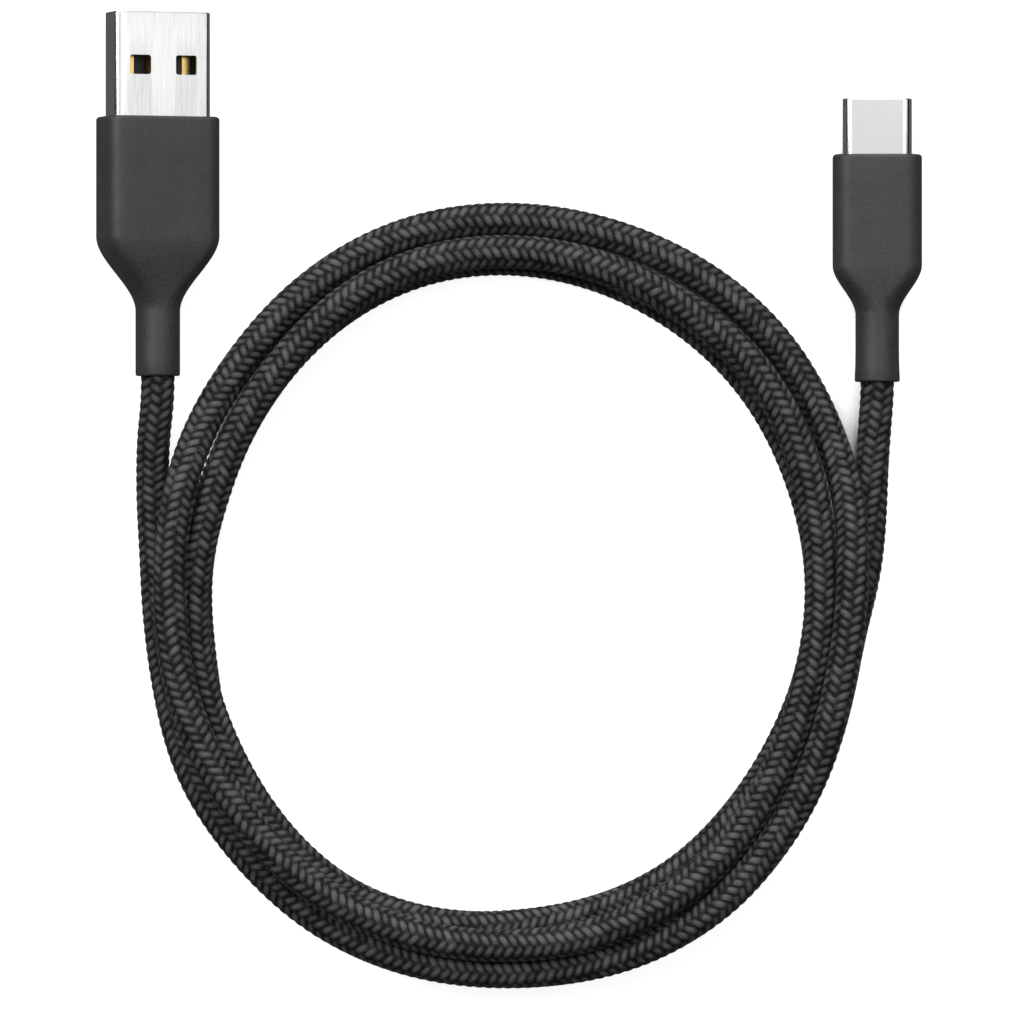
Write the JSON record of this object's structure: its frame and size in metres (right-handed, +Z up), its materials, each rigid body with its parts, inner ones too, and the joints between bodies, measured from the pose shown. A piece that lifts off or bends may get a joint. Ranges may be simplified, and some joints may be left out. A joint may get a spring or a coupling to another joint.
{
  "type": "charging cable",
  "caption": "Braided charging cable laid in loose turns, with a Type-A plug at one end and a Type-C plug at the other.",
  "frame": {"origin": "middle of the box round the two plugs, on the surface that the cable lies on", "axes": "+Y the way both plugs point, +X from the Type-A plug towards the Type-C plug, +Z up from the surface"},
  "size_m": [0.0983, 0.1159, 0.0108],
  "materials": {
    "braid": "matt nylon braid, dark grey",
    "grip": "fine moulded grain, satin",
    "steel": "bright plated",
    "gold": "gold plated",
    "insulator": "moulded, black",
    "inner_mould": "moulded, natural white",
    "jacket": "extruded, satin",
    "board": "solder mask, green",
    "resistor": "satin",
    "wire_red": "extruded",
    "wire_white": "extruded",
    "wire_green": "extruded",
    "wire_black": "extruded"
  },
  "bodies": {
    "cable": {"braided_cord": "braid", "type_a_contact_d_minus": "gold", "type_a_contact_d_plus": "gold", "type_a_contact_ground": "gold", "type_a_contact_vbus": "gold", "type_a_crimp_ring": "steel", "type_a_grip": "grip", "type_a_inner_mould": "inner_mould", "type_a_insulator": "insulator", "type_a_jacket_end": "jacket", "type_a_rear_shield_bottom": "steel", "type_a_rear_shield_top": "steel", "type_a_shell": "steel", "type_a_wire_black": "wire_black", "type_a_wire_green": "wire_green", "type_a_wire_red": "wire_red", "type_a_wire_white": "wire_white", "type_c_carrier_lower": "insulator", "type_c_carrier_upper": "insulator", "type_c_circuit_board": "board", "type_c_contact_a1": "gold", "type_c_contact_a12": "gold", "type_c_contact_a4": "gold", "type_c_contact_a5": "gold", "type_c_contact_a6": "gold", "type_c_contact_a7": "gold", "type_c_contact_a9": "gold", "type_c_contact_b1": "gold", "type_c_contact_b12": "gold", "type_c_contact_b4": "gold", "type_c_contact_b5": "gold", "type_c_contact_b9": "gold", "type_c_crimp_ring": "steel", "type_c_emi_spring_bottom": "steel", "type_c_emi_spring_top": "steel", "type_c_grip": "grip", "type_c_inner_mould": "inner_mould", "type_c_jacket_end": "jacket", "type_c_mid_plate": "steel", "type_c_pullup_resistor": "resistor", "type_c_rear_shield_bottom": "steel", "type_c_rear_shield_top": "steel", "type_c_shell": "steel", "type_c_wire_black": "wire_black", "type_c_wire_green": "wire_green", "type_c_wire_red": "wire_red", "type_c_wire_white": "wire_white"},
    "latch_left": {"type_c_latch_left": "steel"},
    "latch_right": {"type_c_latch_right": "steel"}
  },
  "joints": [
    {"name": "latch_left_spring", "type": "hinge", "parent": "cable", "child": "latch_left", "pos_m": [0.04045, 0.0023, 0.00295], "axis": [0, 0, 1], "range_deg": [0, 1.5], "stiffness_Nm_per_rad": 0.5},
    {"name": "latch_right_spring", "type": "hinge", "parent": "cable", "child": "latch_right", "pos_m": [0.04735, 0.0023, 0.00295], "axis": [0, 0, -1], "range_deg": [0, 1.5], "stiffness_Nm_per_rad": 0.5}
  ]
}
